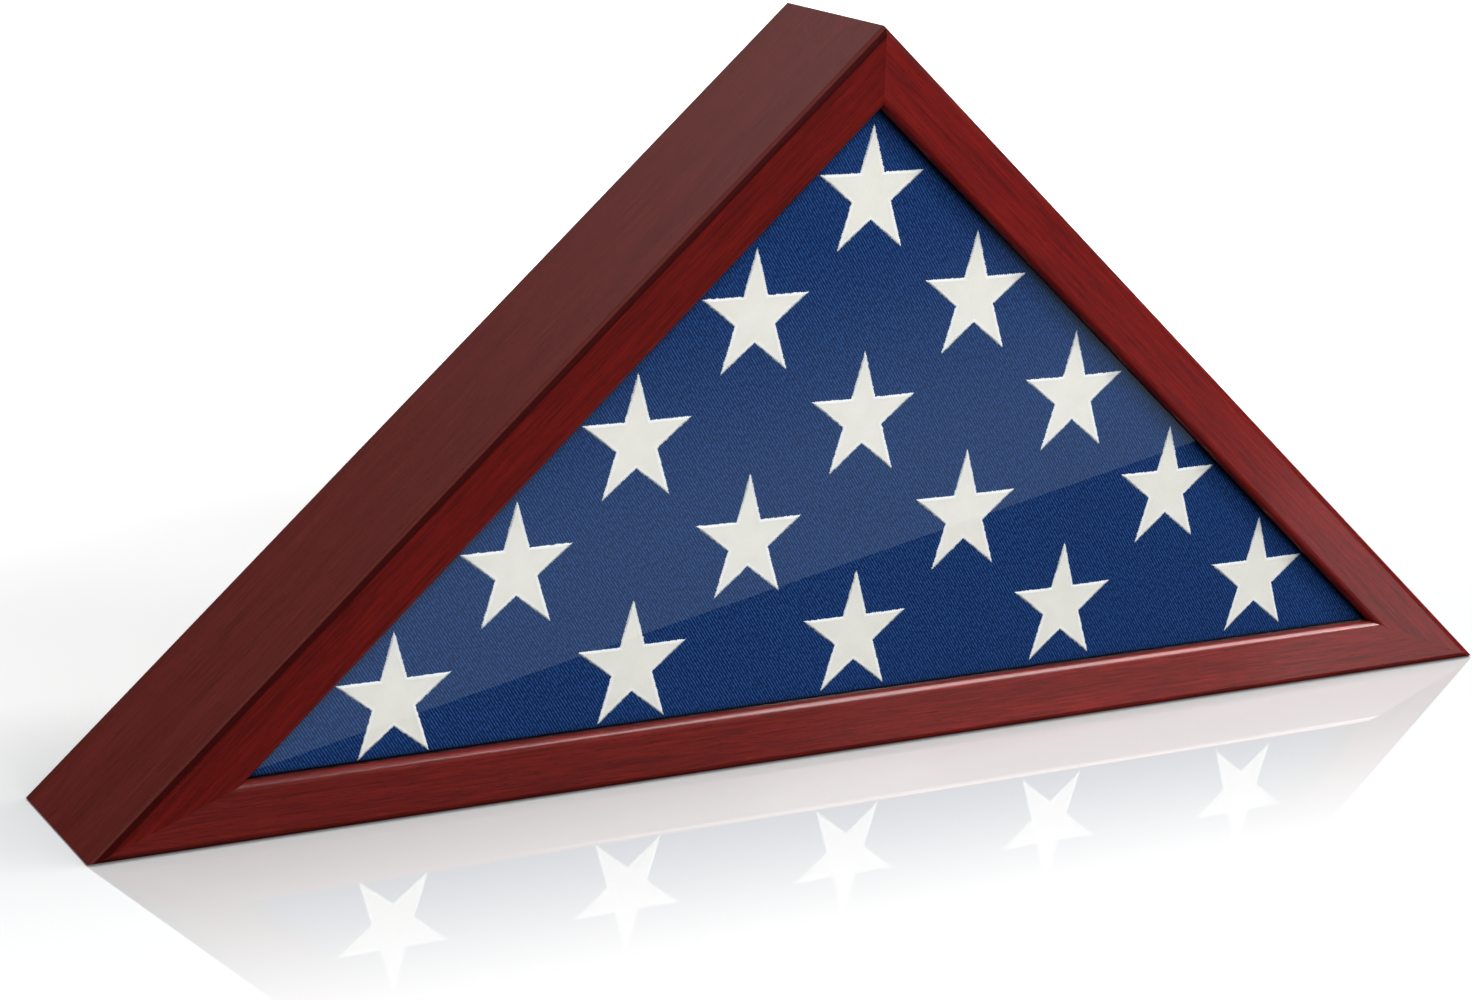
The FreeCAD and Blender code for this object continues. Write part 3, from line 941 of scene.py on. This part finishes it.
def floor_material():
    """White, with a mirror coat that is strongest at the case and fades in front of it."""
    s = Shader("floor")
    place = s.add("TexCoord").outputs["Object"]
    depth = s.add("SeparateXYZ", {0: place}).outputs["Y"]
    away = s.add("VectorMath", {0: place}, operation="LENGTH").outputs["Value"]
    fade = s.math("MULTIPLY", s.ramp(depth, *MIRROR_BEFORE), s.ramp(depth, *MIRROR_BEHIND))
    white = s.mix(s.cloud(0.6), *FLOOR_GREYS)
    level = s.math("MULTIPLY_ADD", s.ramp(away, *GLOW_RANGE), 1 - FLOOR_GLOW, FLOOR_GLOW)
    matt = s.add("BsdfDiffuse", {"Color": white}).outputs[0]
    base = s.add("AddShader", {0: s.glow(level), 1: matt}).outputs[0]
    share = s.math("MULTIPLY", fade, FLOOR_MIRROR)
    mirror = s.mirror(MIRROR_COLOUR, 0.015)
    return s.finish(s.add("MixShader", {0: share, 1: base, 2: mirror}).outputs[0])


def make_floor():
    corners = [(x * FLOOR_REACH, y * FLOOR_REACH, FLOOR_LOW)
               for x, y in ((-1, -1), (1, -1), (1, 1), (-1, 1))]
    floor = quad("floor", corners, floor_material())
    floor.visible_glossy = floor.visible_diffuse = floor.visible_shadow = False
    s = Shader("backdrop")
    both = s.add("AddShader", {0: s.glow(1.0), 1: s.clear()}).outputs[0]
    backdrop = quad("backdrop", BACKDROP, s.finish(both))
    mirrored_only(backdrop, [floor])


class World(Shader):
    """The nodes of the world."""

    def __init__(self, name):
        self.world = bpy.data.worlds.new(name)
        self.world.use_nodes = True
        self.tree = self.world.node_tree
        self.tree.nodes.clear()


# the world's light on matt surfaces, from below and from above the horizon
AMBIENT_BELOW = 0.20
AMBIENT_ABOVE = 0.40
HORIZON = (-0.1, 0.1)
# what gloss mirrors of it, and how high up that begins and is full
CEILING = 0.064
CEILING_RANGE = (0.30, 0.62)


def make_world():
    """White behind everything, an even light on matt surfaces, and little to mirror."""
    w = World("studio")
    path = w.add("LightPath")
    height = w.add("SeparateXYZ", {0: w.add("TexCoord").outputs["Generated"]}).outputs["Z"]
    rise = AMBIENT_ABOVE - AMBIENT_BELOW
    ambient = w.math("MULTIPLY_ADD", w.ramp(height, *HORIZON), rise, AMBIENT_BELOW)
    mirrored = w.math("MULTIPLY", w.ramp(height, *CEILING_RANGE), CEILING)
    change = w.math("SUBTRACT", mirrored, ambient)
    seen = w.math("MULTIPLY_ADD", path.outputs["Is Glossy Ray"], change, ambient)
    seen = w.math("MAXIMUM", seen, path.outputs["Is Camera Ray"])
    background = w.add("Background", {"Color": WHITE, "Strength": seen}).outputs[0]
    w.tree.links.new(background, w.add("OutputWorld").inputs["Surface"])
    bpy.context.scene.world = w.world


# the lower edge of the card that the pane mirrors, as two points of the pane (x, z), and how
# far the card goes on past them and above them
HAZE_LINE = ((-0.245, 0.030), (0.167, 0.116))
HAZE_PAST = 0.15
HAZE_TOP = 0.22
HAZE_STRENGTH = 0.42
HAZE_COLOUR = (0.64, 0.82, 1.0, 1)
# the share of the card's height where its glow is gone, and where it is full
HAZE_RANGE = (0.66, 0.15)
CARD_Y = -0.95


def mirrored_on_card(x, z):
    """Where the camera sees the card's plane mirrored in the pane at that point."""
    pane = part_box("glass_pane")[0].y
    eye = Vector(CAMERA_PLACE)
    eye.y = 2 * pane - eye.y
    point = Vector((x, pane, z))
    return eye + (point - eye) * ((CARD_Y - eye.y) / (point.y - eye.y))


def make_haze_card():
    """A pale card in front of the case, which only the pane mirrors; its glow fades upwards."""
    (x0, z0), (x1, z1) = HAZE_LINE
    slope = (z1 - z0) / (x1 - x0)
    low = [(x0 - HAZE_PAST, z0 - HAZE_PAST * slope), (x1 + HAZE_PAST, z1 + HAZE_PAST * slope)]
    high = [(x, z + HAZE_TOP) for x, z in reversed(low)]
    s = Shader("haze")
    rise = s.add("SeparateXYZ", {0: s.add("TexCoord").outputs["UV"]}).outputs["Y"]
    strength = s.math("MULTIPLY", s.ramp(rise, *HAZE_RANGE), HAZE_STRENGTH)
    corners = [mirrored_on_card(x, z) for x, z in low + high]
    card = quad("haze_card", corners, s.finish(s.glow(strength, HAZE_COLOUR)))
    layer = card.data.uv_layers.new(name="rise")
    for loop, uv in zip(layer.data, ((0, 0), (1, 0), (1, 1), (0, 1))):
        loop.uv = uv
    mirrored_only(card, [NODES["glass_pane"]])


# the card above the case that only the bottom rail mirrors, in its round beside the glass
OVERHEAD = ((0.42, -1.7, 0.9), (1.5, -1.7, 0.9), (1.5, 0.6, 0.9), (0.42, 0.6, 0.9))
OVERHEAD_STRENGTH = 28.0


def make_overhead_card():
    s = Shader("overhead")
    card = quad("overhead_card", OVERHEAD, s.finish(s.glow(OVERHEAD_STRENGTH)))
    mirrored_only(card, [NODES["bottom_face_rail"]])


MIDDLE = (0, 0, HEIGHT / 3)
CORNER = (HALF_BASE, FRONT, 0)
# each lamp's place, what it points at, its side's length and its power in watts; floor_side
# is a sun, with a power per square metre, and its side doesn't count
LAMPS = {
    "front": ((-0.35, -1.9, 1.75), MIDDLE, 1.2, 44),
    "key_right": ((1.3, -1.3, 1.55), MIDDLE, 0.55, 26),
    "back": ((-0.45, 1.0, 1.5), (-0.1, 0, 0.2), 0.9, 7),
    "low_right": ((0.66, -0.42, -0.14), CORNER, 0.25, 0.68),
    "rail_right": ((1.0, -0.8, 0.5), CORNER, 0.16, 10.5),
    "low_middle": ((0.42, -0.50, -0.18), (0.1, FRONT, 0), 0.3, 0.3),
    "near_bottom": ((0.12, -0.24, 0.12), (0.12, FRONT, 0.01), 0.1, 0.42),
    "inner_left": ((0.45, -0.20, -0.40), (-0.16, FRONT, 0.13), 0.2, 1.6),
    "back_fill": ((0.5, 1.6, 0.7), MIDDLE, 0.9, 22),
    "floor_side": ((1.5, -0.12, 1.15), (0, 0, 0), 1, 8.6),
}
SUN_ANGLE = math.radians(24)


def make_lamps():
    """The lamps; all but the first two light only some of the pieces."""
    meshes = [obj for obj in bpy.data.objects if obj.type == "MESH"]
    not_floor = [obj for obj in meshes if obj.name != "floor"]
    left, right, bottom = (NODES[f"{side}_face_rail"] for side in GRAIN)
    facing_front = {NODES["left_board"], left, right, bottom}
    receivers = {
        "back": not_floor,
        "low_right": [left, right, bottom],
        "rail_right": [bottom],
        "low_middle": [bottom],
        "near_bottom": [bottom],
        "inner_left": [left],
        "back_fill": [obj for obj in not_floor if obj not in facing_front],
        "floor_side": [bpy.data.objects["floor"]],
    }
    for name, settings in LAMPS.items():
        lamp = softbox(name, *settings)
        if name in receivers:
            light_only(lamp, receivers[name])
    bpy.data.objects["near_bottom"].visible_camera = False
    sun = bpy.data.objects["floor_side"]
    sun.data.type = "SUN"
    sun.data.angle = SUN_ANGLE


make_camera()
finish_case()
make_tuck(make_bundle())
make_front_ply()
make_lining()
make_stars()
make_world()
make_floor()
make_haze_card()
make_overhead_card()
make_lamps()
bpy.context.scene.view_settings.view_transform = "Standard"
